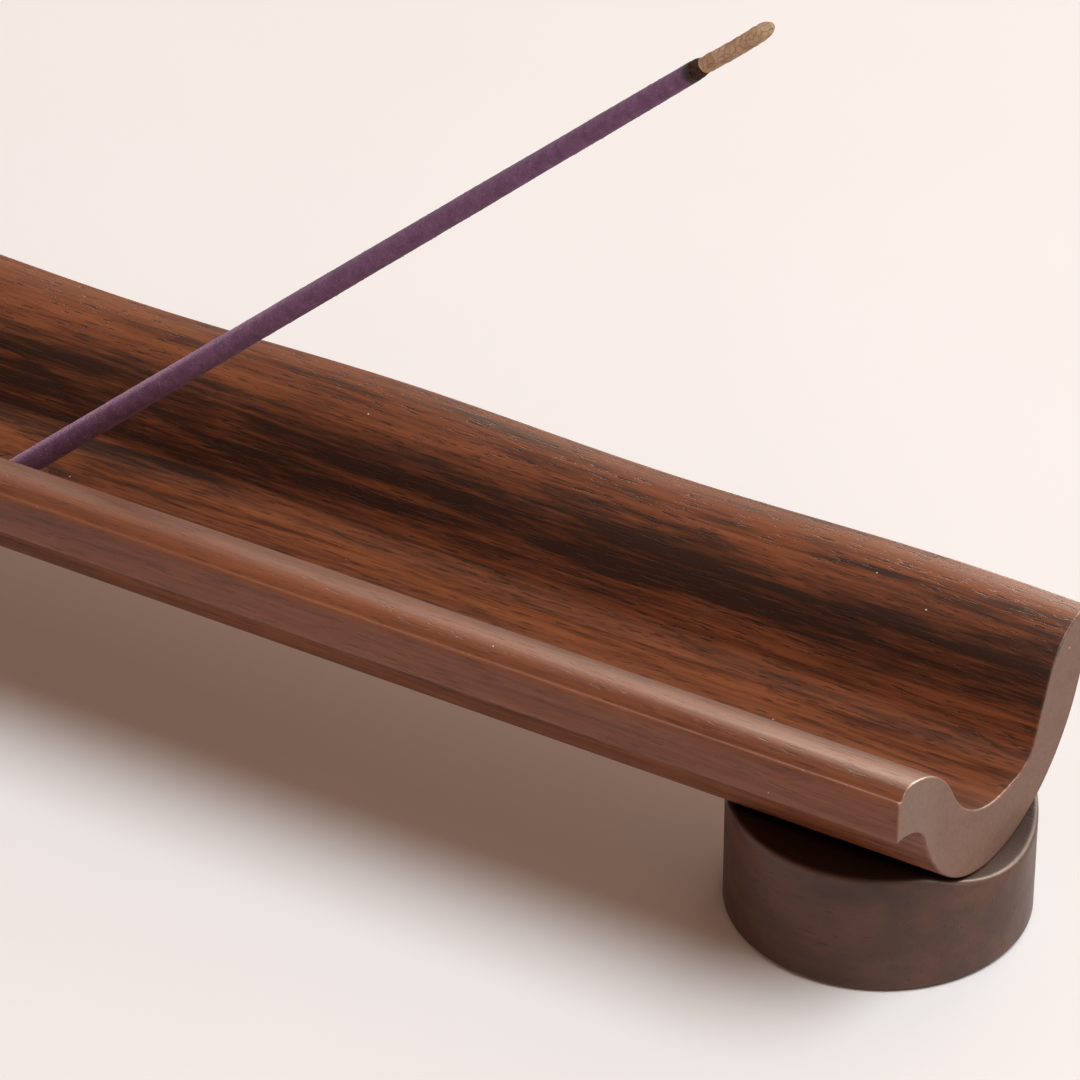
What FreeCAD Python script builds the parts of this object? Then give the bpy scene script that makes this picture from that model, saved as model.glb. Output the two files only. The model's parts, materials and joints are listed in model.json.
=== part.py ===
import FreeCAD, Part
import math
import os
import Sketcher

# Incense stick holder: a wooden trough on two cradled disc feet, with a stick leaning out of
# a brass sleeve in the trough's floor.  Millimetres: +X along the trough, +Y towards its
# back wall, +Z up, and the felt pads rest on Z = 0.

os.makedirs("parts", exist_ok=True)
doc = FreeCAD.newDocument("IncenseHolder")
V = FreeCAD.Vector

# ---------------------------------------------------------------- driving dimensions
DIMENSIONS = [
    # trough
    ("tray_length", 180.0, "length along X"),
    ("rail_reach", 19.3, "front face ahead of the middle plane"),
    ("keel_radius", 16.9, "round underside"),
    ("keel_offset", 2.4, "Y of the underside's axis"),
    ("keel_axis_rise", 27.3, "Z of the underside's axis"),
    ("rail_top", 30.0, "Z of the front rail's crown"),
    ("rail_foot", 24.9, "Z of the front face's lower arris"),
    ("rail_crown", 2.7, "flat crown of the front rail"),
    ("rail_root", 13.8, "where the rail's underside meets the keel"),
    ("sweep_radius", 12.7, "both bends between the rail and the floor"),
    ("floor_front", 3.1, "Y where the flat floor starts"),
    ("floor_back", 5.9, "Y where the flat floor ends"),
    ("floor_rise", 17.1, "Z of the trough's floor"),
    ("wall_root_radius", 3.0, "bend from the floor into the back wall"),
    ("wall_slope", 66.0, "back wall above the level, degrees"),
    ("wall_roll_radius", 7.2, "bend from the back wall onto the rim"),
    ("rim_top", 28.9, "Z of the back rim"),
    ("arris_radius", 0.5, "softened long edges"),
    ("end_chamfer", 0.3, "broken edge of each end face"),
    # feet
    ("foot_radius", 15.0, "turned disc"),
    ("foot_height", 13.2, "disc before the cradle is cut"),
    ("foot_inset", 12.7, "foot axis in from the trough's end"),
    ("foot_lift", 0.3, "gap under the wood"),
    ("cradle_radius", 21.0, "groove in the foot, wider than the keel that it touches"),
    ("foot_chamfer", 0.4, "broken outer edges"),
    ("recess_depth", 0.8, "seat of the felt disc"),
    ("pad_radius", 12.0, "felt disc"),
    ("pad_play", 0.1, "radial play of the felt in its seat"),
    ("cut_clearance", 1.0, "how far a cut starts outside the wood"),
    # screws
    ("screw_radius", 1.5, "shank"),
    ("head_radius", 3.0, "countersunk head"),
    ("head_depth", 1.6, "countersunk head"),
    ("head_sink", 0.2, "head above the felt"),
    ("screw_length", 13.5, "head to point"),
    ("point_length", 2.0, "tapered end"),
    ("point_radius", 0.3, "blunt tip"),
    ("socket_width", 1.5, "square driver socket"),
    ("socket_depth", 1.0, "square driver socket"),
    # sleeve in the floor
    ("stick_lean", 41.1, "stick's angle above the level, degrees"),
    ("stick_station", -22.22, "X where the stick's axis meets the floor"),
    ("stick_row", 1.0, "Y of the stick's axis"),
    ("sleeve_radius", 2.2, "outside of the brass sleeve"),
    ("sleeve_depth", 6.4, "sleeve along its axis, below the floor"),
    ("sleeve_web", 0.8, "closed bottom of the sleeve"),
    ("stick_play", 0.08, "radial play of the stick in the sleeve"),
    ("seat_gap", 0.02, "play under the stick's foot"),
    # stick
    ("stick_radius", 1.25, "incense paste at its foot"),
    ("stick_top_radius", 0.96, "incense paste at the burning line"),
    ("paste_reach", 104.2, "paste above the floor, along the axis"),
    ("char_length", 1.2, "burning line"),
    ("char_radius", 0.93, "burning line"),
    ("ash_length", 9.5, "ash left behind the burning line"),
    ("ash_radius", 0.82, "ash"),
    ("ash_nose", 0.5, "rounding of the ash's end"),
]
sheet = doc.addObject("Spreadsheet::Sheet", "Dimensions")
for row, (alias, value, meaning) in enumerate(DIMENSIONS, start=1):
    sheet.set(f"A{row}", alias)
    sheet.set(f"B{row}", str(value))
    sheet.set(f"C{row}", meaning)
    sheet.setAlias(f"B{row}", alias)
doc.recompute()
size = {alias: value for alias, value, _meaning in DIMENSIONS}


# ---------------------------------------------------------------- helpers
def bind(target, path, text):
    """Bind one property to an expression in which @name is a driving dimension."""
    target.setExpression(path, text.replace("@", "Dimensions."))


def origin_plane(body, role):
    """The body's own origin plane with this role, such as XY_Plane."""
    return next(f for f in body.Origin.OriginFeatures if f.Role == role)


def new_body(label):
    """An empty PartDesign body whose label is its node's name."""
    body = doc.addObject("PartDesign::Body", label)
    body.Label = label
    return body


def new_sketch(body, name, role):
    """A sketch on one of the body's origin planes."""
    sketch = body.newObject("Sketcher::SketchObject", name)
    sketch.AttachmentSupport = [(origin_plane(body, role), "")]
    sketch.MapMode = "FlatFace"
    return sketch


def hold(sketch, kind, text, drawn, *elements):
    """A dimensional constraint that starts at its drawn value and is bound to an expression."""
    index = sketch.addConstraint(Sketcher.Constraint(kind, *elements, drawn))
    bind(sketch, f"Constraints[{index}]", text)


def hold_point(sketch, geometry, vertex, across, along):
    """Bind a vertex to two expressions; None leaves that coordinate free."""
    at = sketch.getPoint(geometry, vertex)
    for kind, text, drawn in (("DistanceX", across, at.x), ("DistanceY", along, at.y)):
        if text is not None:
            hold(sketch, kind, text, drawn, -1, 1, geometry, vertex)


def bound_circle(sketch, radius, across="0 mm", along="0 mm"):
    """A circle whose radius and centre are bound."""
    circle = sketch.addGeometry(Part.Circle(V(1, 1, 0), V(0, 0, 1), 1.0), False)
    hold_point(sketch, circle, 3, across, along)
    hold(sketch, "Radius", radius, 1.0, circle)


def bound_polygon(sketch, corners):
    """A closed outline of straight lines; each corner is a start value and its two texts."""
    first = sketch.GeometryCount
    places = [V(*corner[0], 0) for corner in corners]
    for start, end in zip(places, places[1:] + places[:1]):
        sketch.addGeometry(Part.LineSegment(start, end), False)
    for step, (_place, across, along) in enumerate(corners):
        before = first + (step - 1) % len(corners)
        sketch.addConstraint(Sketcher.Constraint("Coincident", before, 2, first + step, 1))
        hold_point(sketch, first + step, 1, across, along)


def extrude(body, kind, name, sketch, length, **options):
    """A Pad or Pocket of this sketch with a bound length."""
    feature = body.newObject(f"PartDesign::{kind}", name)
    feature.Profile = sketch
    bind(feature, "Length", length)
    for option, setting in options.items():
        setattr(feature, option, setting)
    sketch.Visibility = False
    doc.recompute()
    return feature


def turn(body, kind, name, sketch):
    """A Revolution or Groove of this sketch about its own vertical axis."""
    feature = body.newObject(f"PartDesign::{kind}", name)
    feature.Profile = sketch
    feature.ReferenceAxis = (sketch, ["V_Axis"])
    feature.Angle = 360.0
    sketch.Visibility = False
    doc.recompute()
    return feature


def dress(body, kind, name, base, wanted, amount):
    """A Fillet or Chamfer on the edges of base for which wanted(edge) is true."""
    edges = [f"Edge{n}" for n, edge in enumerate(base.Shape.Edges, start=1) if wanted(edge)]
    feature = body.newObject(f"PartDesign::{kind}", name)
    feature.Base = (base, edges)
    bind(feature, "Radius" if kind == "Fillet" else "Size", amount)
    doc.recompute()
    return feature


def place(target, across="0 mm", along="0 mm", up="0 mm", tilt=None):
    """Bind a placement's base, and its turn about Y where a tilt is given."""
    for axis, text in (("x", across), ("y", along), ("z", up)):
        bind(target, f"Placement.Base.{axis}", text)
    if tilt is not None:
        target.Placement.Rotation = FreeCAD.Rotation(V(0, 1, 0), 1.0)
        bind(target, "Placement.Rotation.Angle", tilt)


# ---------------------------------------------------------------- trough
def section_start():
    """The section's corners and arc centres as first drawn, worked out from the dimensions."""
    bend, slope = size["sweep_radius"], math.radians(size["wall_slope"])
    root, roll = size["wall_root_radius"], size["wall_roll_radius"]
    floor, rim = size["floor_rise"], size["rim_top"]
    keel = V(size["keel_offset"], size["keel_axis_rise"], 0)
    crown_end = V(-size["rail_reach"] + size["rail_crown"], size["rail_top"], 0)

    # the two equal bends touch, so their centres are two radii apart
    lower = V(size["floor_front"], floor + bend, 0)
    span = lower - crown_end
    along = (span.Length ** 2 + bend ** 2 - (2 * bend) ** 2) / (2 * span.Length)
    aside = math.sqrt(bend ** 2 - along ** 2)
    unit = V(span).normalize()
    upper = crown_end + unit * along + V(unit.y, -unit.x, 0) * aside

    wall_root = V(size["floor_back"], floor + root, 0)
    wall_start = wall_root + V(math.sin(slope), -math.cos(slope), 0) * root
    wall_top = rim - roll + roll * math.cos(slope)
    wall_end = V(wall_start.x + (wall_top - wall_start.y) / math.tan(slope), wall_top, 0)
    wall_roll = V(wall_end.x + roll * math.sin(slope), rim - roll, 0)
    keel_drop = math.sqrt(size["keel_radius"] ** 2 - (keel.x + size["rail_root"]) ** 2)

    corners = {
        "face_foot": V(-size["rail_reach"], size["rail_foot"], 0),
        "face_top": V(-size["rail_reach"], size["rail_top"], 0),
        "crown_end": crown_end,
        "sweep_turn": (upper + lower) * 0.5,
        "floor_start": V(size["floor_front"], floor, 0),
        "floor_end": V(size["floor_back"], floor, 0),
        "wall_start": wall_start,
        "wall_end": wall_end,
        "rim_start": V(wall_roll.x, rim, 0),
        "rim_end": keel + V(size["keel_radius"], rim - keel.y, 0),
        "keel_back": keel + V(size["keel_radius"], 0, 0),
        "keel_front": V(-size["rail_root"], keel.y - keel_drop, 0),
    }
    centres = {"crown_end": upper, "sweep_turn": lower, "floor_end": wall_root,
               "wall_end": wall_roll, "keel_back": keel}
    return corners, centres


def arc_about(centre, start, end):
    """The shorter arc from start to end about this centre."""
    middle = ((start - centre) + (end - centre)).normalize()
    return Part.Arc(start, centre + middle * (start - centre).Length, end)


def draw_section(sketch):
    """The trough's closed section: sketch X is the part's Y, sketch Y is its Z."""
    corners, centres = section_start()
    names = list(corners)
    edge = {}
    for name, following in zip(names, names[1:] + names[:1]):
        start, end = corners[name], corners[following]
        if name in centres:
            curve = arc_about(centres[name], start, end)
        else:
            curve = Part.LineSegment(start, end)
        edge[name] = sketch.addGeometry(curve, False)

    # a sketch keeps its arcs anticlockwise, so an arc may start at its later corner
    ends = {}
    for name in names:
        forward = sketch.getPoint(edge[name], 1).distanceToPoint(corners[name]) < 1e-3
        ends[name] = (1, 2) if forward else (2, 1)
    smooth = {"sweep_turn", "floor_start", "floor_end", "wall_start", "wall_end", "rim_start"}
    for name, following in zip(names, names[1:] + names[:1]):
        kind = "Tangent" if following in smooth else "Coincident"
        joined = (edge[name], ends[name][1], edge[following], ends[following][0])
        sketch.addConstraint(Sketcher.Constraint(kind, *joined))

    def vertex(name, across, along):
        hold_point(sketch, edge[name], ends[name][0], across, along)

    vertex("face_foot", "-@rail_reach", "@rail_foot")
    vertex("face_top", "-@rail_reach", "@rail_top")
    vertex("crown_end", "-@rail_reach + @rail_crown", "@rail_top")
    vertex("floor_start", "@floor_front", "@floor_rise")
    vertex("floor_end", "@floor_back", "@floor_rise")
    vertex("rim_start", None, "@rim_top")
    vertex("rim_end", "@keel_offset + @keel_radius", "@rim_top")
    vertex("keel_front", "-@rail_root",
           "@keel_axis_rise - sqrt(@keel_radius ^ 2 - (@keel_offset + @rail_root) ^ 2)")
    for name, radius in (("crown_end", "sweep_radius"), ("sweep_turn", "sweep_radius"),
                         ("floor_end", "wall_root_radius"), ("wall_end", "wall_roll_radius")):
        hold(sketch, "Radius", f"@{radius}", sketch.Geometry[edge[name]].Radius, edge[name])
    hold(sketch, "Angle", "@wall_slope * 1 deg", math.radians(size["wall_slope"]), edge["wall_start"])
    hold_point(sketch, edge["keel_back"], 3, None, "@keel_axis_rise")
    vertex("keel_back", "@keel_offset + @keel_radius", "@keel_axis_rise")


def build_tray():
    """The trough: a padded section, softened arrises, the sleeve's bore and two pilot holes."""
    body = new_body("tray")
    section = new_sketch(body, "TraySection", "YZ_Plane")
    draw_section(section)
    pad = extrude(body, "Pad", "TrayPad", section, "@tray_length", Midplane=True)

    def long_arris(edge):
        box = edge.BoundBox
        at = (round(box.YMin, 2), round(box.ZMin, 2))
        arrises = {(-size["rail_reach"], size["rail_foot"]), (-size["rail_reach"], size["rail_top"]),
                   (size["rail_reach"], size["rim_top"])}
        return box.XLength > size["tray_length"] - 1 and at in arrises

    soft = dress(body, "Fillet", "TrayArrises", pad, long_arris, "@arris_radius")
    dress(body, "Chamfer", "TrayEnds", soft, lambda e: e.BoundBox.XLength < 0.01, "@end_chamfer")

    bore = new_sketch(body, "SleeveBore", "XY_Plane")
    bore.AttachmentOffset = FreeCAD.Placement(V(0, 0, 0), FreeCAD.Rotation(V(0, 1, 0), 1.0))
    bind(bore, "AttachmentOffset.Base.x", "@stick_station - @sleeve_depth * cos(@stick_lean * 1 deg)")
    bind(bore, "AttachmentOffset.Base.y", "@stick_row * 1 mm")
    bind(bore, "AttachmentOffset.Base.z", "@floor_rise - @sleeve_depth * sin(@stick_lean * 1 deg)")
    bind(bore, "AttachmentOffset.Rotation.Angle", "90 - @stick_lean")
    bound_circle(bore, "@sleeve_radius")
    extrude(body, "Pocket", "SleeveBoreCut", bore, "@sleeve_depth * 2", Reversed=True)

    pilots = new_sketch(body, "PilotHoles", "XY_Plane")
    for side in (-1, 1):
        station = f"{side} * (@tray_length / 2 - @foot_inset)"
        bound_circle(pilots, "@screw_radius", station, "@keel_offset")
    extrude(body, "Pocket", "PilotCut", pilots,
            "@foot_lift + @recess_depth + @head_sink + @screw_length", Reversed=True)


# ---------------------------------------------------------------- feet
def build_foot(label, side):
    """A turned disc, cradled to the keel, with a felt seat and a countersunk screw hole."""
    body = new_body(label)
    disc = new_sketch(body, f"{label}_disc", "XY_Plane")
    bound_circle(disc, "@foot_radius")
    pad = extrude(body, "Pad", f"{label}_pad", disc, "@foot_height - @foot_lift")
    dress(body, "Chamfer", f"{label}_edges", pad, lambda e: e.BoundBox.ZLength < 0.01,
          "@foot_chamfer")

    cradle = new_sketch(body, f"{label}_cradle", "YZ_Plane")
    bound_circle(cradle, "@cradle_radius", "0 mm",
                 "@keel_axis_rise - @keel_radius + @cradle_radius - @foot_lift")
    extrude(body, "Pocket", f"{label}_cradle_cut", cradle, "@foot_radius * 3", Midplane=True)

    hole = new_sketch(body, f"{label}_hole", "XZ_Plane")
    seat, head, shank = size["pad_radius"], size["head_radius"], size["screw_radius"]
    below, recess, top = -size["cut_clearance"], size["recess_depth"], size["foot_height"]
    face = recess + size["head_sink"]
    sunk = "@recess_depth + @head_sink"
    bound_polygon(hole, [
        ((0, below), "0 mm", "-@cut_clearance"),
        ((seat, below), "@pad_radius + @pad_play", "-@cut_clearance"),
        ((seat, recess), "@pad_radius + @pad_play", "@recess_depth * 1 mm"),
        ((head, recess), "@head_radius * 1 mm", "@recess_depth * 1 mm"),
        ((head, face), "@head_radius * 1 mm", sunk),
        ((shank, face + size["head_depth"]), "@screw_radius * 1 mm", f"{sunk} + @head_depth"),
        ((shank, top), "@screw_radius * 1 mm", "@foot_height * 1 mm"),
        ((0, top), "0 mm", "@foot_height * 1 mm"),
    ])
    turn(body, "Groove", f"{label}_hole_cut", hole)
    station = f"{side} * (@tray_length / 2 - @foot_inset)"
    place(body, station, "@keel_offset * 1 mm", "@foot_lift * 1 mm")


def build_pad(label, side):
    """A felt disc in the foot's seat."""
    body = new_body(label)
    disc = new_sketch(body, f"{label}_disc", "XY_Plane")
    bound_circle(disc, "@pad_radius")
    extrude(body, "Pad", f"{label}_felt", disc, "@foot_lift + @recess_depth")
    place(body, f"{side} * (@tray_length / 2 - @foot_inset)", "@keel_offset * 1 mm")


def screw_solid():
    """One countersunk wood screw, point up, with its head's face on the local XY plane."""
    head = Part.makeCone(size["head_radius"], size["screw_radius"], size["head_depth"])
    shank_length = size["screw_length"] - size["head_depth"] - size["point_length"]
    shank = Part.makeCylinder(size["screw_radius"], shank_length, V(0, 0, size["head_depth"]))
    point = Part.makeCone(size["screw_radius"], size["point_radius"], size["point_length"],
                          V(0, 0, size["screw_length"] - size["point_length"]))
    width, depth = size["socket_width"], size["socket_depth"]
    socket = Part.makeBox(width, width, depth, V(-width / 2, -width / 2, 0))
    return head.fuse([shank, point]).removeSplitter().cut(socket)


def build_screws():
    """Both foot screws, as separate solids of one node."""
    group = doc.addObject("Part::Feature", "foot_screws")
    group.Label = "foot_screws"
    station = size["tray_length"] / 2 - size["foot_inset"]
    screws = [screw_solid().translated(V(side * station, 0, 0)) for side in (-1, 1)]
    group.Shape = Part.makeCompound(screws)
    place(group, "0 mm", "@keel_offset * 1 mm", "@foot_lift + @recess_depth + @head_sink")


# ---------------------------------------------------------------- sleeve and stick
def axis_place(target, distance):
    """Set an object on the stick's axis, this far up from where it meets the floor."""
    place(target, f"@stick_station + ({distance}) * cos(@stick_lean * 1 deg)",
          "@stick_row * 1 mm",
          f"@floor_rise + ({distance}) * sin(@stick_lean * 1 deg)", "90 - @stick_lean")


def bound_round(kind, name, radii, height, distance):
    """A Part cylinder or cone on the stick's axis; radii maps property names to expressions."""
    piece = doc.addObject(f"Part::{kind}", name)
    for path, text in radii.items():
        bind(piece, path, text)
    bind(piece, "Height", height)
    axis_place(piece, distance)
    return piece


def build_sleeve():
    """A closed brass sleeve whose mouth is cut level with the trough's floor."""
    shell = bound_round("Cylinder", "sleeve_shell", {"Radius": "@sleeve_radius * 1 mm"},
                        "@sleeve_depth * 2", "-@sleeve_depth")
    bore = bound_round("Cylinder", "sleeve_bore", {"Radius": "@stick_radius + @stick_play"},
                       "@sleeve_depth * 2", "-@sleeve_depth + @sleeve_web")
    tube = doc.addObject("Part::Cut", "sleeve_tube")
    tube.Base, tube.Tool = shell, bore
    below = doc.addObject("Part::Box", "below_floor")
    for edge in ("Length", "Width"):
        bind(below, edge, "@sleeve_depth * 6")
    bind(below, "Height", "@floor_rise * 1 mm")
    place(below, "@stick_station - @sleeve_depth * 3", "@stick_row - @sleeve_depth * 3")
    sleeve = doc.addObject("Part::Common", "stick_sleeve")
    sleeve.Label = "stick_sleeve"
    sleeve.Base, sleeve.Tool = tube, below


def build_stick():
    """The stick in three lengths: paste, burning line and ash, touching end to end."""
    foot = "-@sleeve_depth + @sleeve_web + @seat_gap"
    taper = {"Radius1": "@stick_radius * 1 mm", "Radius2": "@stick_top_radius * 1 mm"}
    paste = bound_round("Cone", "incense_stick", taper, f"@paste_reach - ({foot})", foot)
    char = bound_round("Cylinder", "char_ring", {"Radius": "@char_radius * 1 mm"},
                       "@char_length * 1 mm", "@paste_reach")
    ash_core = bound_round("Cylinder", "ash_core", {"Radius": "@ash_radius * 1 mm"},
                           "@ash_length * 1 mm", "@paste_reach + @char_length")
    doc.recompute()
    ash = doc.addObject("Part::Fillet", "ash_tip")
    ash.Base = ash_core
    tip = max(range(len(ash_core.Shape.Edges)), key=lambda n: ash_core.Shape.Edges[n].CenterOfMass.z)
    ash.Edges = [(tip + 1, size["ash_nose"], size["ash_nose"])]
    for piece in (paste, char, ash):
        piece.Label = piece.Name


NODES = ["tray", "foot_left", "foot_right", "felt_pad_left", "felt_pad_right", "foot_screws",
         "stick_sleeve", "incense_stick", "char_ring", "ash_tip"]

build_tray()
for name, side in (("left", -1), ("right", 1)):
    build_foot(f"foot_{name}", side)
    build_pad(f"felt_pad_{name}", side)
build_screws()
build_sleeve()
build_stick()
doc.recompute()

for item in doc.Objects:
    if "Invalid" in item.State or "Error" in item.State:
        raise RuntimeError(f"{item.Name} did not recompute: {item.State}")

for name in NODES:
    shape = doc.getObjectsByLabel(name)[0].Shape
    if shape.isNull() or not shape.isValid():
        raise RuntimeError(f"{name} has no valid shape")
    shape.exportStep(f"parts/{name}.step")
    box = shape.BoundBox
    print(f"{name}: {len(shape.Solids)} solid(s), {shape.Volume:.1f} mm3, "
          f"X {box.XMin:.2f}..{box.XMax:.2f} Y {box.YMin:.2f}..{box.YMax:.2f} "
          f"Z {box.ZMin:.2f}..{box.ZMax:.2f}")
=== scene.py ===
"""Incense stick holder with a lit stick: rosewood trough on two round feet.

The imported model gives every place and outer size. The classes below build the
pieces that show (trough, feet, felt pads, stick, char and ash), dress the
carried-over metal pieces, and set up the table, the light and the camera.
"""
import json
import logging
import math
from dataclasses import dataclass, field
from enum import Enum
from typing import Union

import bmesh
import bpy
import numpy as np
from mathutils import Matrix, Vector


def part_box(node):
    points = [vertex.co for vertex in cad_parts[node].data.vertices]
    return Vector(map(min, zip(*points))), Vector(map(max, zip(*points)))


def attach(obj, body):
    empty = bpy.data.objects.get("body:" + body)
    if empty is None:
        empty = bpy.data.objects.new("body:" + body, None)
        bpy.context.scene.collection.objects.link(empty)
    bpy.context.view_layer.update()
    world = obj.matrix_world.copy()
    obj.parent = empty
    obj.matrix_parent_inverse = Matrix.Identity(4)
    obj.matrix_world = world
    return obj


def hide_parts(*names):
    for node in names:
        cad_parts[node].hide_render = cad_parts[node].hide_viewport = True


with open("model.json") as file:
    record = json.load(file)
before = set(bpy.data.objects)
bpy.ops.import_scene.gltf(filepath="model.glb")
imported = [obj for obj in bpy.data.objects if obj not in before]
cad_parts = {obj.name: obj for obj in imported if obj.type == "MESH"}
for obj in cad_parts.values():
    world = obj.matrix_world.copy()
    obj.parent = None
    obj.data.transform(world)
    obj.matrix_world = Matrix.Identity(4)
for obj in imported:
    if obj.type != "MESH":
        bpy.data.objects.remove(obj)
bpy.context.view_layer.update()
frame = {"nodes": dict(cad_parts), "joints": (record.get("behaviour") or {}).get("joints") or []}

MM = 0.001
log = logging.getLogger("incense_holder")

Pair = tuple[float, float]
Triple = tuple[float, float, float]
Colour = Triple
Face = tuple[int, ...]
Bend = tuple[Pair, Pair, Pair, int]
Socket = bpy.types.NodeSocket
Material = bpy.types.Material
Object = bpy.types.Object
Value = Union[Socket, float, int, bool, str, tuple, Vector, None]


class Body(Enum):
    """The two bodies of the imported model."""

    HOLDER = "holder"
    STICK = "stick"


class End(Enum):
    """The two ends of the trough, each over a foot of its own."""

    LEFT = "left"
    RIGHT = "right"


# ---------------------------------------------------------------- node trees


class NodeWriter:
    """Writes nodes and links into one node tree."""

    def __init__(self, tree: bpy.types.NodeTree) -> None:
        """Takes over a shader or geometry tree."""
        self.tree = tree

    def feed(self, socket: Socket, value: Value) -> None:
        """Links or sets one input.

        Args:
            socket: The input.
            value: Another node's output, a plain value, or None to leave it.
        """
        if value is None:
            return
        if isinstance(value, bpy.types.NodeSocket):
            self.tree.links.new(value, socket)
        elif socket.type == "RGBA" and len(value) == 3:
            socket.default_value = (*value, 1.0)
        else:
            socket.default_value = value

    def add(self, kind: str, *values: Value, **settings: object) -> bpy.types.Node:
        """Adds a node and fills its first inputs in order.

        Args:
            kind: The node's type name.
            *values: One value for each of its first inputs.
            **settings: Properties of the node, set before its inputs.

        Returns:
            The new node.
        """
        node = self.tree.nodes.new(kind)
        for name, setting in settings.items():
            setattr(node, name, setting)
        for socket, value in zip(node.inputs, values):
            self.feed(socket, value)
        return node

    def maths(self, operation: str, *values: Value) -> Socket:
        """The result of one Math node."""
        return self.add("ShaderNodeMath", *values, operation=operation).outputs[0]

    def times(self, first: Value, second: Value) -> Socket:
        """The product of two numbers."""
        return self.maths("MULTIPLY", first, second)

    def minus(self, first: Value, second: Value) -> Socket:
        """The first number less the second."""
        return self.maths("SUBTRACT", first, second)

    def times_plus(self, first: Value, second: Value, third: Value) -> Socket:
        """The product of two numbers, plus a third."""
        return self.maths("MULTIPLY_ADD", first, second, third)

    def split(self, vector: Socket) -> list[Socket]:
        """The X, Y and Z of a vector."""
        return list(self.add("ShaderNodeSeparateXYZ", vector).outputs)

    def join(self, x: Value = None, y: Value = None, z: Value = None) -> Socket:
        """The vector with these parts, of which None is zero."""
        return self.add("ShaderNodeCombineXYZ", x, y, z).outputs[0]

    def scaled(self, vector: Socket, factor: Value) -> Socket:
        """A vector times a number."""
        node = self.vectors("SCALE", vector)
        self.feed(node.inputs["Scale"], factor)
        return node.outputs[0]

    def vectors(self, operation: str, *values: Value) -> bpy.types.Node:
        """One Vector Math node, whose output 0 is a vector and 1 a number."""
        return self.add("ShaderNodeVectorMath", *values, operation=operation)

    def fit(self, value: Socket, low: float, high: float, out_low: float = 0.0,
            out_high: float = 1.0, smooth: bool = True) -> Socket:
        """Maps a range of a number onto another, clamped.

        Args:
            value: The number.
            low: The input that gives out_low.
            high: The input that gives out_high.
            out_low: The first end of the result.
            out_high: The other end.
            smooth: True for an eased step, False for a straight one.

        Returns:
            The mapped number.
        """
        kind = "SMOOTHSTEP" if smooth else "LINEAR"
        values = (value, low, high, out_low, out_high)
        return self.add("ShaderNodeMapRange", *values, interpolation_type=kind).outputs[0]

    def noise(self, vector: Socket, scale: float, detail: float = 3.0,
              roughness: float = 0.5, distortion: float = 0.0) -> Socket:
        """A noise texture's value.

        Args:
            vector: Where it is read.
            scale: Features per unit of the vector.
            detail: Octaves.
            roughness: Weight of the finer octaves.
            distortion: How far the pattern is bent by itself.

        Returns:
            A number near 0.5.
        """
        node = self.add("ShaderNodeTexNoise")
        names = ("Vector", "Scale", "Detail", "Roughness", "Distortion")
        for name, value in zip(names, (vector, scale, detail, roughness, distortion)):
            self.feed(node.inputs[name], value)
        return node.outputs[0]


class Finish(NodeWriter):
    """Writes one procedural material."""

    def __init__(self, name: str) -> None:
        """Makes an empty material of this name."""
        self.material = bpy.data.materials.new(name)
        self.material.use_nodes = True
        super().__init__(self.material.node_tree)
        self.tree.nodes.clear()

    def place(self, grain: Triple = (1.0, 1.0, 1.0),
              centre: Triple = (0.0, 0.0, 0.0)) -> Socket:
        """Object coordinates in millimetres, pulled long along the grain.

        Args:
            grain: How many times longer the pattern is along each axis.
            centre: The pattern's origin, in metres.

        Returns:
            The coordinates.
        """
        where = self.add("ShaderNodeTexCoord").outputs["Object"]
        moved = self.vectors("SUBTRACT", where, centre).outputs[0]
        return self.vectors("MULTIPLY", moved, tuple(1.0 / (MM * g) for g in grain)).outputs[0]

    def mix(self, factor: Value, first: Value, second: Value) -> Socket:
        """Mixes two colours.

        Args:
            factor: Share of the second.
            first: A colour.
            second: Another colour.

        Returns:
            The mixed colour.
        """
        node = self.add("ShaderNodeMix", data_type="RGBA")
        for index, value in ((0, factor), (6, first), (7, second)):
            self.feed(node.inputs[index], value)
        return node.outputs[2]

    def ramp(self, value: Socket, *stops: tuple[float, Colour]) -> Socket:
        """Turns a number into a colour.

        Args:
            value: The number.
            *stops: Positions with their colours, lowest first.

        Returns:
            The colour.
        """
        node = self.add("ShaderNodeValToRGB", value)
        elements = node.color_ramp.elements
        while len(elements) < len(stops):
            elements.new(0.5)
        for element, (position, colour) in zip(elements, stops):
            element.position = position
            element.color = (*colour, 1.0)
        return node.outputs[0]

    def bump(self, height: Socket, depth: float) -> Socket:
        """A bump from a height between 0 and 1.

        Args:
            height: The height.
            depth: Its full depth, in millimetres.

        Returns:
            The normal.
        """
        node = self.add("ShaderNodeBump")
        for name, value in (("Strength", 1.0), ("Distance", depth * MM), ("Height", height)):
            self.feed(node.inputs[name], value)
        return node.outputs[0]

    def normal(self) -> list[Socket]:
        """The X, Y and Z of the surface's own normal."""
        return self.split(self.add("ShaderNodeNewGeometry").outputs["Normal"])

    def surface(self, **inputs: Value) -> Material:
        """Ends the material in a Principled shader, given its inputs by name."""
        shader = self.add("ShaderNodeBsdfPrincipled")
        for name, value in inputs.items():
            self.feed(shader.inputs[name.replace("_", " ")], value)
        self.add("ShaderNodeOutputMaterial", shader.outputs[0])
        return self.material


# ------------------------------------------------------------------ finishes


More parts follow.
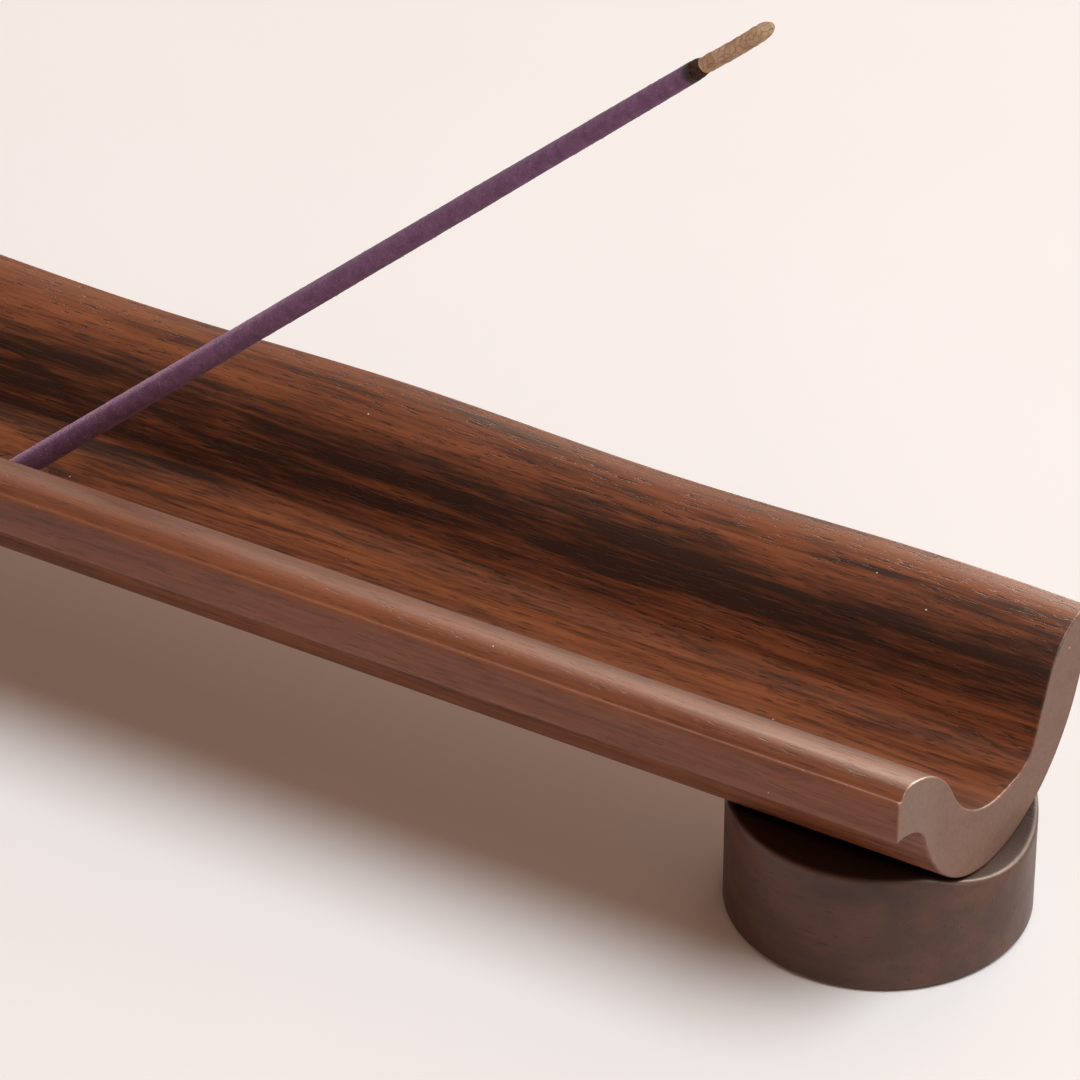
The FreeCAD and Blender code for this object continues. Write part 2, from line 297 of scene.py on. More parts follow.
@dataclass(frozen=True)
class TroughWood:
    """Oiled rosewood with black streaks that run the length of the trough.

    Patterns are in millimetres, and edges are measured in Y from band_centre.
    """

    pale: Colour = (0.205, 0.060, 0.021)
    red: Colour = (0.155, 0.041, 0.013)
    brown: Colour = (0.080, 0.021, 0.007)
    black: Colour = (0.024, 0.0065, 0.0025)
    end_grain: Colour = (0.178, 0.092, 0.058)
    dust: Colour = (0.75, 0.68, 0.62)
    band_centre: Triple = (0.0, 0.0118, 0.0215)
    band_climb: float = 0.030
    band_reach: float = 7.6
    figure_and_shade_weight: float = 0.13
    middle_tone: float = 0.475
    rail_edge: Pair = (-28.6, -26.6)
    polish_edge: Pair = (-26.0, -21.0)
    polish: Pair = (0.36, 0.12)
    gloss: float = 0.38
    pore_depth: float = 0.035

    def material(self) -> Material:
        """Builds the material."""
        f = Finish("trough_rosewood")
        lie = f.place()
        # A dark band wanders along the foot of the back wall: partly the wood's dark figure, partly
        # painted shade where the steep wall turns from the light.
        x, y, z = f.split(f.place(centre=self.band_centre))
        drift = f.noise(f.place((60.0, 8.0, 8.0)), 1.0, 2.0)
        rise = f.times_plus(x, -self.band_climb, z)
        offset = f.join(0.0, y, f.times_plus(drift, 7.0, f.minus(rise, 3.5)))
        distance = f.vectors("LENGTH", offset).outputs[1]
        figure_and_shade_band = f.fit(distance, 1.0, self.band_reach, 1.0, 0.0)
        # Streaks, feathers and fibres make the figure, from coarse to fine.
        streaks = f.noise(f.place((18.0, 1.0, 1.0)), 0.34, 5.0, 0.64, 0.5)
        feathers = f.noise(f.place((15.0, 1.0, 1.0)), 1.35, 5.0, 0.64, 0.3)
        fibres = f.noise(f.place((26.0, 1.0, 1.0)), 5.2, 3.0, 0.6)
        figure = f.times_plus(streaks, 0.50, f.times(feathers, 0.50))
        dark = f.times_plus(figure_and_shade_band, self.figure_and_shade_weight, figure)
        dark = f.times_plus(f.minus(fibres, 0.5), 0.22, dark)
        # The outside of the rail is plainer than the inside.
        inside = f.fit(y, *self.rail_edge)
        strength = f.fit(inside, 0.0, 1.0, 0.50, 1.0, False)
        dark = f.times_plus(f.minus(dark, self.middle_tone), strength, self.middle_tone)
        stops = zip((0.40, 0.49, 0.57, 0.65), (self.pale, self.red, self.brown, self.black))
        wood = f.ramp(dark, *stops)
        pores = f.fit(f.noise(f.place((10.0, 1.0, 1.0)), 3.4, 3.0, 0.55), 0.585, 0.65)
        shown = f.times(pores, f.fit(inside, 0.0, 1.0, 0.30, 0.66, False))
        wood = f.mix(shown, wood, self.black)
        # End grain shows where the surface faces along X.
        facing = f.normal()
        is_end = f.fit(f.maths("ABSOLUTE", facing[0]), 0.80, 0.97)
        speckle = f.fit(f.noise(lie, 2.2, 3.0), 0.35, 0.65, smooth=False)
        grain = f.mix(speckle, self.end_grain, tuple(c * 0.86 for c in self.end_grain))
        rings = f.fit(f.noise(f.place((1.0, 3.0, 1.0)), 0.5, 3.0), 0.5, 0.68)
        wood = f.mix(is_end, wood, f.mix(f.times(rings, 0.14), grain, self.brown))
        # Specks of fallen dust lie here and there.
        specks = f.add("ShaderNodeTexVoronoi")
        f.feed(specks.inputs["Vector"], lie)
        f.feed(specks.inputs["Scale"], 0.30)
        draw = f.add("ShaderNodeSeparateColor", specks.outputs["Color"]).outputs[0]
        chosen = f.maths("GREATER_THAN", draw, 0.62)
        fleck = f.times(f.fit(specks.outputs["Distance"], 0.020, 0.034, 1.0, 0.0), chosen)
        wood = f.mix(f.times(fleck, 0.75), wood, self.dust)
        relief = f.times_plus(fibres, 0.35, f.minus(1.0, f.times(pores, 0.8)))
        matt = f.fit(feathers, 0.35, 0.65, 0.36, 0.48, False)
        # Hands have polished the rail and whatever faces up.
        handled = f.fit(facing[2], 0.05, 0.50, 0.68, 1.0)
        return f.surface(
            Base_Color=wood,
            Roughness=f.maths("ADD", matt, f.times(is_end, 0.25)),
            Normal=f.bump(relief, self.pore_depth),
            Specular_IOR_Level=f.times(handled, self.gloss),
            Coat_Weight=f.times(handled, f.fit(y, *self.polish_edge, *self.polish)),
            Coat_Roughness=0.30,
        )


@dataclass(frozen=True)
class FootWood:
    """Turned rosewood, darker and mottled, with its up-facing top, cradle included, painted nearly
    black as painted shade under the trough.
    """

    red: Colour = (0.094, 0.030, 0.011)
    brown: Colour = (0.060, 0.021, 0.009)
    black: Colour = (0.030, 0.011, 0.005)
    painted_shade: float = 0.80
    lathe_depth: float = 0.012

    def material(self) -> Material:
        """Builds the material."""
        f = Finish("foot_rosewood")
        cloud = f.noise(f.place((2.2, 1.0, 1.0)), 0.16, 4.0, 0.6, 0.6)
        streaks = f.noise(f.place((7.0, 1.0, 1.0)), 0.55, 4.0, 0.6)
        dark = f.times_plus(cloud, 0.55, f.times(streaks, 0.45))
        wood = f.ramp(dark, (0.36, self.red), (0.54, self.brown), (0.74, self.black))
        pores = f.fit(f.noise(f.place((8.0, 1.0, 1.0)), 3.0, 2.0), 0.61, 0.68)
        wood = f.mix(f.times(pores, 0.6), wood, self.black)
        turning = f.noise(f.place((9.0, 9.0, 1.0)), 3.5, 2.0)
        # Painted shade: faces that look up are mixed towards near black, for the trough's shadow on
        # the foot's top.
        top_shade = f.fit(f.normal()[2], 0.55, 0.98, 0.0, self.painted_shade)
        return f.surface(
            Base_Color=f.mix(top_shade, wood, tuple(c * 0.5 for c in self.black)),
            Roughness=f.fit(cloud, 0.3, 0.7, 0.42, 0.54, False),
            Normal=f.bump(f.minus(turning, f.times(pores, 1.5)), self.lathe_depth),
            Specular_IOR_Level=0.42,
            Coat_Weight=0.06,
            Coat_Roughness=0.35,
        )


@dataclass(frozen=True)
class Felt:
    """Brown wool felt, pressed, with loose fibres."""

    light: Colour = (0.085, 0.060, 0.046)
    dark: Colour = (0.038, 0.026, 0.020)
    nap_depth: float = 0.12

    def material(self) -> Material:
        """Builds the material."""
        f = Finish("brown_felt")
        one = f.noise(f.place((6.0, 1.0, 1.0)), 4.0, 3.0, 0.6, 1.5)
        two = f.noise(f.place((1.0, 6.0, 1.0)), 4.0, 3.0, 0.6, 1.5)
        mat = f.maths("MAXIMUM", one, two)
        return f.surface(
            Base_Color=f.ramp(mat, (0.42, self.dark), (0.68, self.light)),
            Roughness=0.95,
            Normal=f.bump(mat, self.nap_depth),
            Sheen_Weight=0.4,
            Sheen_Roughness=0.5,
        )


@dataclass(frozen=True)
class ScrewSteel:
    """Zinc-plated steel with fine turning marks."""

    bright: Colour = (0.62, 0.61, 0.58)
    dull: Colour = (0.42, 0.41, 0.39)
    mark_depth: float = 0.01

    def material(self) -> Material:
        """Builds the material."""
        f = Finish("screw_steel")
        marks = f.noise(f.place((5.0, 5.0, 1.0)), 9.0, 3.0, 0.6)
        blotch = f.fit(f.noise(f.place(), 1.3, 3.0), 0.35, 0.65)
        return f.surface(
            Base_Color=f.mix(blotch, self.bright, self.dull),
            Metallic=1.0,
            Roughness=f.fit(marks, 0.3, 0.7, 0.22, 0.42, False),
            Normal=f.bump(marks, self.mark_depth),
        )


@dataclass(frozen=True)
class SleeveBrass:
    """Drawn brass tube, browned by oil and heat."""

    bright: Colour = (0.40, 0.195, 0.125)
    tarnish: Colour = (0.24, 0.110, 0.070)
    draw_depth: float = 0.008

    def material(self) -> Material:
        """Builds the material."""
        f = Finish("sleeve_brass")
        blotch = f.noise(f.place(), 0.9, 4.0, 0.6)
        draw = f.noise(f.place((4.0, 1.0, 4.0)), 7.0, 2.0)
        return f.surface(
            Base_Color=f.mix(f.fit(blotch, 0.42, 0.70), self.bright, self.tarnish),
            Metallic=1.0,
            Roughness=f.times_plus(blotch, 0.25, f.fit(draw, 0.3, 0.7, 0.18, 0.30, False)),
            Normal=f.bump(draw, self.draw_depth),
        )


@dataclass(frozen=True)
class IncensePaste:
    """Purple incense paste, dry and granular, singed where it meets the char.

    The foot, axis and reach give the stick's line, in metres.
    """

    purple: Colour = (0.200, 0.086, 0.190)
    plum: Colour = (0.115, 0.047, 0.105)
    powder_and_highlight: Colour = (0.520, 0.290, 0.420)
    singed: Colour = (0.022, 0.012, 0.010)
    highlight_run: Pair = (20.0, 70.0)
    singed_run: Pair = (-1.3, -0.2)
    grain_depth: float = 0.12
    foot: Triple = (0.0, 0.0, 0.0)
    axis: Triple = (0.0, 0.0, 1.0)
    reach: float = 0.1

    def material(self) -> Material:
        """Builds the material."""
        f = Finish("incense_paste")
        where = f.add("ShaderNodeTexCoord").outputs["Object"]
        from_foot = f.vectors("SUBTRACT", where, self.foot).outputs[0]
        along = f.vectors("DOT_PRODUCT", from_foot, self.axis).outputs[1]
        grains = f.noise(f.place(), 5.5, 3.0, 0.7)
        mottle = f.noise(f.place(), 0.9, 3.0, 0.55)
        tone = f.mix(f.fit(mottle, 0.25, 0.75), self.plum, self.purple)
        # Painted highlight: pale powder colour on the upper side of the lower half, where the light
        # falls on it. The same colour also marks real pale grains at random.
        start, end = (run * MM for run in self.highlight_run)
        painted_highlight = f.times(f.fit(f.normal()[2], 0.42, 0.70), f.fit(along, start, end, 1.0, 0.0))
        tone = f.mix(f.times(f.fit(grains, 0.56, 0.70), 0.35), tone, self.powder_and_highlight)
        tone = f.mix(f.times(painted_highlight, f.fit(grains, 0.40, 0.60, 0.25, 0.95)), tone, self.powder_and_highlight)
        tone = f.mix(f.times(f.fit(grains, 0.46, 0.34), 0.6), tone, self.plum)
        edge = f.times_plus(f.minus(mottle, 0.5), 1.2 * MM, along)
        start, end = (self.reach + run * MM for run in self.singed_run)
        return f.surface(
            Base_Color=f.mix(f.fit(edge, start, end), tone, self.singed),
            Roughness=0.92,
            Normal=f.bump(grains, self.grain_depth),
            Specular_IOR_Level=0.25,
            Sheen_Weight=0.12,
            Sheen_Roughness=0.6,
        )


@dataclass(frozen=True)
class Char:
    """The scorched ring between paste and ash."""

    black: Colour = (0.020, 0.010, 0.008)
    brown: Colour = (0.095, 0.038, 0.022)
    crust_depth: float = 0.15

    def material(self) -> Material:
        """Builds the material."""
        f = Finish("char")
        crust = f.noise(f.place(), 4.5, 4.0, 0.7)
        return f.surface(
            Base_Color=f.ramp(crust, (0.42, self.black), (0.66, self.brown)),
            Roughness=0.95,
            Normal=f.bump(crust, self.crust_depth),
            Specular_IOR_Level=0.2,
        )


@dataclass(frozen=True)
class Ash:
    """Soft grey-tan ash with fine cracks across it."""

    pale: Colour = (0.485, 0.330, 0.210)
    tan: Colour = (0.365, 0.228, 0.138)
    crack: Colour = (0.200, 0.115, 0.070)
    crack_depth: float = 0.12

    def material(self) -> Material:
        """Builds the material."""
        f = Finish("ash")
        cloud = f.noise(f.place(), 0.8, 3.0, 0.5)
        bent = f.vectors("ADD", f.place(), f.join(cloud, cloud, cloud)).outputs[0]
        flakes = f.add("ShaderNodeTexVoronoi", feature="DISTANCE_TO_EDGE")
        f.feed(flakes.inputs["Vector"], bent)
        f.feed(flakes.inputs["Scale"], 1.5)
        seam = f.fit(flakes.outputs["Distance"], 0.0, 0.06, 1.0, 0.0)
        tone = f.mix(f.fit(cloud, 0.35, 0.66), self.tan, self.pale)
        return f.surface(
            Base_Color=f.mix(f.times(seam, 0.12), tone, self.crack),
            Roughness=0.95,
            Normal=f.bump(f.minus(cloud, f.times(seam, 0.5)), self.crack_depth),
            Specular_IOR_Level=0.2,
        )


@dataclass(frozen=True)
class TableTop:
    """Plain pale table, very slightly uneven in tone."""

    light: Colour = (0.785, 0.738, 0.698)
    dim: Colour = (0.777, 0.729, 0.689)

    def material(self) -> Material:
        """Builds the material."""
        f = Finish("pale_table")
        cloud = f.fit(f.noise(f.place(), 0.02, 3.0), 0.3, 0.7)
        tone = f.mix(cloud, self.light, self.dim)
        return f.surface(Base_Color=tone, Roughness=0.75, Specular_IOR_Level=0.2)


# -------------------------------------------------------------------- meshes


def put(name: str, data: bpy.types.ID) -> Object:
    """Puts a new object with this data into the scene, at the origin."""
    thing = bpy.data.objects.new(name, data)
    bpy.context.scene.collection.objects.link(thing)
    return thing


def make_piece(name: str, points: list[Vector] | list[Triple], faces: list[Face],
               material: Material) -> Object:
    """Makes a closed, smooth-shaded mesh object with outward faces.

    Args:
        name: The piece's name.
        points: Its corners, in metres.
        faces: Its faces, as indices of corners.
        material: Its finish.

    Returns:
        The object, at the origin.
    """
    mesh = bpy.data.meshes.new(name)
    mesh.from_pydata([tuple(p) for p in points], [], faces)
    mesh.materials.append(material)
    finish_mesh(mesh)
    return put(name, mesh)


def finish_mesh(mesh: bpy.types.Mesh) -> None:
    """Merges doubles, turns the faces outwards and shades them smooth.

    A face with more than four corners, or one square to the grain, stays flat.

    Args:
        mesh: The mesh.
    """
    work = bmesh.new()
    work.from_mesh(mesh)
    bmesh.ops.remove_doubles(work, verts=work.verts, dist=1e-7)
    bmesh.ops.recalc_face_normals(work, faces=work.faces)
    for face in work.faces:
        face.smooth = len(face.verts) <= 4 and abs(face.normal.x) < 0.99999
    work.to_mesh(mesh)
    work.free()
    mesh.update()


def directions(around: int) -> list[Pair]:
    """The cosine and sine of evenly spaced directions."""
    angles = [2 * math.pi * i / around for i in range(around)]
    return [(math.cos(angle), math.sin(angle)) for angle in angles]


def lathe_faces(rings: int, around: int) -> list[Face]:
    """Faces between rings of corners, closed by a fan at each end.

    Args:
        rings: Number of rings.
        around: Corners in each ring.

    Returns:
        The faces. The first fan's centre comes after all rings, then the last's.
    """
    faces: list[Face] = []
    for a in range(0, (rings - 1) * around, around):
        b = a + around
        faces += [(a + i, a + (i + 1) % around, b + (i + 1) % around, b + i) for i in range(around)]
    centre = rings * around
    faces += [((i + 1) % around, i, centre) for i in range(around)]
    last = (rings - 1) * around
    faces += [(last + i, last + (i + 1) % around, centre + 1) for i in range(around)]
    return faces


def plain_mesh(name: str, source: Object) -> Object:
    """Turns what an object's modifiers make into a plain mesh object.

    Args:
        name: The new piece's name.
        source: The object, which is removed.

    Returns:
        The new object, at the origin.
    """
    graph = bpy.context.evaluated_depsgraph_get()
    mesh = bpy.data.meshes.new_from_object(source.evaluated_get(graph), depsgraph=graph)
    mesh.name = name
    bpy.data.objects.remove(source)
    return put(name, mesh)


class ShapeTree(NodeWriter):
    """Writes one Geometry Nodes tree with named inputs, and runs it."""

    def __init__(self, name: str) -> None:
        """Makes an empty tree of this name."""
        super().__init__(bpy.data.node_groups.new(name, "GeometryNodeTree"))
        for way in ("INPUT", "OUTPUT"):
            self.tree.interface.new_socket("Geometry", in_out=way, socket_type="NodeSocketGeometry")
        self.entry = self.tree.nodes.new("NodeGroupInput")
        self.values: dict[str, object] = {}

    def size(self, name: str, value: object, kind: str = "Float") -> Socket:
        """Adds a named input.

        Args:
            name: Its name.
            value: The value that the modifier gets.
            kind: Float, Int, Vector or Material.

        Returns:
            The input's socket inside the tree.
        """
        item = self.tree.interface.new_socket(name, in_out="INPUT", socket_type=f"NodeSocket{kind}")
        self.values[item.identifier] = value
        return self.entry.outputs[name]

    def geo(self, kind: str, *values: Value, **settings: object) -> Socket:
        """The first output of a new geometry node, named without its prefix."""
        return self.add(f"GeometryNode{kind}", *values, **settings).outputs[0]

    def run(self, name: str, source: Object, shape: Socket, finish: Socket) -> Object:
        """Ends the tree in Realize Instances and Set Material, and runs it.

        Args:
            name: The finished piece's name.
            source: The object that the modifier goes on.
            shape: The tree's geometry.
            finish: The tree's material input.

        Returns:
            The result as a plain mesh object.
        """
        real = self.geo("RealizeInstances", shape)
        self.add("NodeGroupOutput", self.geo("SetMaterial", real, None, finish))
        modifier = source.modifiers.new(name, "NODES")
        modifier.node_group = self.tree
        for identifier, value in self.values.items():
            modifier[identifier] = value
        piece = plain_mesh(name, source)
        finish_mesh(piece.data)
        return piece


# ----------------------------------------------------------------- the parts


class Outline:
    """A closed outline in the YZ plane, in millimetres."""

    closest: float = 0.02

    def __init__(self) -> None:
        """Starts with no points."""
        self.points: list[Pair] = []

    def to(self, y: float, z: float, steps: int = 1) -> None:
        """Adds a straight run.

        Args:
            y: Where it ends.
            z: Its height there.
            steps: Number of pieces it is cut into.
        """
        if not self.points:
            self.points.append((y, z))
            return
        y0, z0 = self.points[-1]
        shares = [k / steps for k in range(1, steps + 1)]
        self.points += [(y0 + (y - y0) * t, z0 + (z - z0) * t) for t in shares]

    def arc(self, centre: Pair, radius: float, start: float, end: float,
            steps: int) -> None:
        """Adds an arc.

        Args:
            centre: Its centre.
            radius: Its radius.
            start: First angle, in degrees from +Y.
            end: Last angle.
            steps: Number of pieces.
        """
        for k in range(steps + 1):
            angle = math.radians(start + (end - start) * k / steps)
            across, up = radius * math.cos(angle), radius * math.sin(angle)
            self.points.append((centre[0] + across, centre[1] + up))

    def bend(self, first: Pair, second: Pair, end: Pair, steps: int) -> None:
        """Adds a cubic bend from the last point on.

        Args:
            first: First control point.
            second: Second control point.
            end: Where it ends.
            steps: Number of pieces.
        """
        corners = (self.points[-1], first, second, end)
        for k in range(1, steps + 1):
            t = k / steps
            w = ((1 - t) ** 3, 3 * t * (1 - t) ** 2, 3 * t * t * (1 - t), t**3)
            y, z = (sum(a * p[i] for a, p in zip(w, corners)) for i in (0, 1))
            self.points.append((y, z))

    def closed(self) -> np.ndarray:
        """The outline's corners in metres, as rows of Y and Z, without repeats."""
        kept: list[Pair] = []
        for point in self.points:
            if not kept or math.dist(point, kept[-1]) > self.closest:
                kept.append(point)
        if math.dist(kept[0], kept[-1]) < self.closest:
            kept.pop()
        return np.array(kept) * MM


def bearing(point: Pair, centre: Pair) -> float:
    """The direction from a centre to a point, in degrees from +Y."""
    return math.degrees(math.atan2(point[1] - centre[1], point[0] - centre[0]))


@dataclass
class Trough:
    """The long trough: one outline swept along the grain, with softened ends.

    Sizes are in millimetres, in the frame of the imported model.
    """

    finish: TroughWood = field(default_factory=TroughWood)
    half_width: float = 19.3
    lip_foot: float = 25.25
    lip_start: float = 29.05
    lip: tuple[Bend, ...] = (
        ((-19.3, 29.30), (-19.18, 29.42), (-18.98, 29.42), 5),
        ((-18.84, 29.42), (-18.80, 29.30), (-18.64, 29.30), 4),
        ((-18.44, 29.30), (-18.30, 29.98), (-17.20, 30.0), 9),
    )
    crown_end: Pair = (-16.6, 30.0)
    sweep_radius: float = 12.7
    floor_front: float = 3.1
    floor_back: float = 5.9
    floor_rise: float = 17.1
    root_radius: float = 3.0
    wall_slope: float = 66.0
    roll_centre: Pair = (17.78, 21.7)
    roll_radius: float = 7.2
    rim_round: float = 0.5
    keel_centre: Pair = (2.4, 27.3)
    keel_radius: float = 16.9
    keel_end: float = -161.5
    chin: tuple[Bend, ...] = (
        ((-13.95, 22.85), (-15.40, 24.05), (-17.6, 24.72), 8),
        ((-18.2, 24.9), (-18.6, 24.9), (-18.95, 24.9), 3),
        ((-19.15, 24.9), (-19.3, 25.02), (-19.3, 25.25), 4),
    )
    end_round: float = 0.2
    wave_height: float = 0.34
    wave_length: float = 63.0
    wave_start: float = 13.0
    wave_rise: Pair = (19.0, 28.9)
    wave_row: Pair = (5.0, 10.0)
    bore_radius: float = 2.21
    bore_length: float = 30.0
    bore_corners: int = 56
    stick_radius: float = 1.25
    sleeve_web: float = 0.82
    stations: int = 181

    def outline(self) -> np.ndarray:
        """The cross-section, from the front rail over the floor and back."""
        front, back, r = -self.half_width, self.half_width, self.sweep_radius
        crown = np.array(self.crown_end)
        lower = np.array((self.floor_front, self.floor_rise + r))
        # The upper bend's centre is r from the crown and 2 r from the lower one's.
        span = float(np.hypot(*(lower - crown)))
        unit = (lower - crown) / span
        along = (span * span - 3 * r * r) / (2 * span)
        aside = math.sqrt(r * r - along * along)
        upper = crown + along * unit + aside * np.array((unit[1], -unit[0]))
        turn = (upper + lower) / 2
        o = Outline()
        o.to(front, self.lip_foot)
        o.to(front, self.lip_start, 5)
        for bend in self.lip:
            o.bend(*bend)
        o.to(*self.crown_end, 2)
        o.arc(tuple(upper), r, bearing(crown, upper), bearing(turn, upper), 14)
        o.arc(tuple(lower), r, 360 + bearing(turn, lower), 270, 16)
        o.to(self.floor_back, self.floor_rise, 4)
        root = (self.floor_back, self.floor_rise + self.root_radius)
        o.arc(root, self.root_radius, -90, self.wall_slope - 90, 9)
        (y, z), steep = self.roll_centre, 90 + self.wall_slope
        across = self.roll_radius * math.cos(math.radians(steep))
        o.to(y + across, z + self.roll_radius * math.sin(math.radians(steep)), 7)
        o.arc(self.roll_centre, self.roll_radius, steep, 90, 14)
        rim, e = z + self.roll_radius, self.rim_round
        o.to(back - e - 0.05, rim, 2)
        o.arc((back - e, rim - e), e, 90, 0, 5)
        o.to(back, self.keel_centre[1], 2)
        o.arc(self.keel_centre, self.keel_radius, 0, self.keel_end, 44)
        for bend in self.chin:
            o.bend(*bend)
        return o.closed()

    def outline_object(self) -> Object:
        """The outline as a loop of edges that knows which way is inwards.

        Returns:
            The object, with a vector attribute "inward" on its corners.
        """
        points = self.outline()
        before, after = np.roll(points, 1, axis=0), np.roll(points, -1, axis=0)
        step = after - before
        step /= np.linalg.norm(step, axis=1)[:, None]
        side = np.sign(np.sum(points[:, 0] * after[:, 1] - points[:, 1] * after[:, 0]))
        inward = np.stack([0 * step[:, 0], -step[:, 1] * side, step[:, 0] * side], axis=1)
        mesh = bpy.data.meshes.new("trough_outline")
        edges = [(i, (i + 1) % len(points)) for i in range(len(points))]
        mesh.from_pydata([(0.0, *p) for p in points], edges, [])
        attribute = mesh.attributes.new("inward", "FLOAT_VECTOR", "POINT")
        attribute.data.foreach_set("vector", inward.ravel())
        return put("trough_outline", mesh)

    def build(self) -> Object:
        """Sweeps the outline along X, rounds both ends and bores the sleeve's hole.

        Returns:
            The trough.
        """
        low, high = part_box("tray")
        t = ShapeTree("sweep_trough")
        length = t.size("Length", high.x - low.x)
        stations = t.size("Stations", self.stations, "Int")
        rounding = t.size("End rounding", self.end_round * MM)
        height = t.size("Rim wave height", self.wave_height * MM)
        wave = t.size("Rim wave length", self.wave_length * MM)
        crest = t.size("Rim wave crest", self.wave_start * MM)
        bore = t.size("Bore radius", self.bore_radius * MM)
        finish = t.size("Finish", self.finish.material(), "Material")
        half = t.times(length, 0.5)
        # The outline is laid in the sweep's own plane, whose axes point against Y and Z.
        _, y, z = t.split(t.geo("InputPosition"))
        laid = t.join(t.times(y, -1.0), t.times(z, -1.0), 0.0)
        flat = t.geo("SetPosition", t.entry.outputs["Geometry"], None, laid)
        line = t.geo("CurvePrimitiveLine", t.join(t.times(half, -1.0)), t.join(half))
        path = t.geo("ResampleCurve", line, None, stations)
        # Stations crowd towards both ends, where the rounding is.
        angle = t.fit(t.geo("SplineParameter"), 0.0, 1.0, -math.pi / 2, math.pi / 2, False)
        place = t.join(t.times(t.maths("SINE", angle), half))
        eased = t.geo("SetPosition", path, None, place)
        swept = t.geo("CurveToMesh", eased, t.geo("MeshToCurve", flat), None, True)
        # Rounding: a quarter circle in from the end.
        x, y, z = t.split(t.geo("InputPosition"))
        inland = t.minus(half, t.maths("ABSOLUTE", x))
        left = t.maths("MAXIMUM", t.minus(rounding, inland), 0.0)
        square = t.minus(t.times(rounding, rounding), t.times(left, left))
        inset = t.minus(rounding, t.maths("SQRT", t.maths("MAXIMUM", square, 0.0)))
        inward = t.geo("InputNamedAttribute", "inward", data_type="FLOAT_VECTOR")
        # The back rim rises and dips gently along its length.
        turn = t.times(t.maths("DIVIDE", t.minus(x, crest), wave), 2 * math.pi)
        rise, row = ([edge * MM for edge in edges] for edges in (self.wave_rise, self.wave_row))
        mask = t.times(t.fit(z, *rise), t.fit(y, *row))
        lift = t.times(t.times(t.maths("COSINE", turn), height), mask)
        shift = t.vectors("ADD", t.scaled(inward, inset), t.join(0.0, 0.0, lift)).outputs[0]
        shaped = t.geo("SetPosition", swept, None, None, shift)
        # The sleeve's hole is drilled last.
        drill = t.geo("MeshCylinder", self.bore_corners, 1, 1, bore, self.bore_length * MM)
        middle, lean = self.bore_place()
        placed = t.add("GeometryNodeTransform", drill)
        t.feed(placed.inputs["Translation"], tuple(middle))
        t.feed(placed.inputs["Rotation"], (0.0, lean, 0.0))
        how = {"operation": "DIFFERENCE", "solver": "EXACT"}
        cut = t.geo("MeshBoolean", shaped, placed.outputs[0], **how)
        piece = t.run("trough", self.outline_object(), cut, finish)
        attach(piece, Body.HOLDER.value)
        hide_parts("tray")
        return piece

    def bore_place(self) -> tuple[Vector, float]:
        """Where the sleeve's hole is drilled.

        Returns:
            The drill's middle, in metres, and its lean from upright, in radians.
        """
        axis = Vector(frame["joints"][0]["axis"])
        low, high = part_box("stick_sleeve")
        corner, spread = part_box("incense_stick")[0], self.stick_radius * MM
        foot = (corner.x + spread * axis.z, (low.y + high.y) / 2, corner.z + spread * axis.x)
        middle = Vector(foot) + axis * (self.bore_length / 2 - self.sleeve_web) * MM
        return middle, math.atan2(axis.x, axis.z)


@dataclass
class Foot:
    """One turned foot with a cradle across its top for the trough's keel.

    Sizes are in millimetres.
    """

    end: End
    material: Material
    cradle_radius: float = 21.0
    cradle_bottom: float = 10.4
    edge_round: float = 0.55
    base_round: float = 0.35
    crease: float = 0.30
    recess_radius: float = 12.1
    recess_depth: float = 0.8
    around: int = 168
    top_rings: int = 52
    side_rings: int = 8

    def top(self, across: float, height: float) -> float:
        """Height of the top where it is this far across from the cradle's line.

        Args:
            across: Distance from the cradle's centre line.
            height: Height of the flat top.

        Returns:
            The height, eased where the cradle meets the flat.
        """
        inside = self.cradle_radius**2 - across * across
        groove = self.cradle_bottom + self.cradle_radius - math.sqrt(max(inside, 1.0))
        gap = max(self.crease - abs(groove - height), 0.0)
        return min(groove, height) - gap * gap / (4 * self.crease)

    def rings(self, radius: float) -> list[Triple]:
        """The rings from the top's centre round to the recess.

        Args:
            radius: The foot's radius.

        Returns:
            Each ring's radius, its distance from the top or base, and its share
            of the way up from the base's rounding.
        """
        e, b, count = self.edge_round, self.base_round, self.top_rings
        rings = [((radius - e) * k / count, 0.0, 1.0) for k in range(1, count + 1)]
        for a in np.linspace(0, math.pi / 2, 7)[1:]:
            rings.append((radius - e + e * math.sin(a), e * (1 - math.cos(a)), 1.0))
        count = self.side_rings
        rings += [(radius, e, 1 - k / (count + 1)) for k in range(1, count + 1)]
        for a in np.linspace(0, math.pi / 2, 6):
            rings.append((radius - b + b * math.cos(a), b - b * math.sin(a), 0.0))
        recess, depth = self.recess_radius, self.recess_depth
        return rings + [(recess, 0.0, 0.0), (recess, depth, 0.0), (recess * 0.6, depth, 0.0)]

    def build(self) -> Object:
        """Builds the foot.

        Returns:
            The foot.
        """
        node = f"foot_{self.end.value}"
        low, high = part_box(node)
        centre = ((low + high) / 2).xy / MM
        radius, height, base = (high.x - low.x) / 2 / MM, high.z / MM, low.z / MM
        shoulder = base + self.base_round
        rings = self.rings(radius)
        points: list[Vector] = []
        for r, offset, share in rings:
            for x, y in directions(self.around):
                z = base + offset
                if share > 0:
                    upper = self.top(min(r, radius) * y, height) - offset
                    z = shoulder + (upper - shoulder) * share
                points.append(Vector((centre.x + r * x, centre.y + r * y, z)) * MM)
        for z in (self.top(0.0, height), base + self.recess_depth):
            points.append(Vector((*centre, z)) * MM)
        faces = lathe_faces(len(rings), self.around)
        piece = make_piece(f"turned_foot_{self.end.value}", points, faces, self.material)
        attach(piece, Body.HOLDER.value)
        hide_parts(node)
        return piece


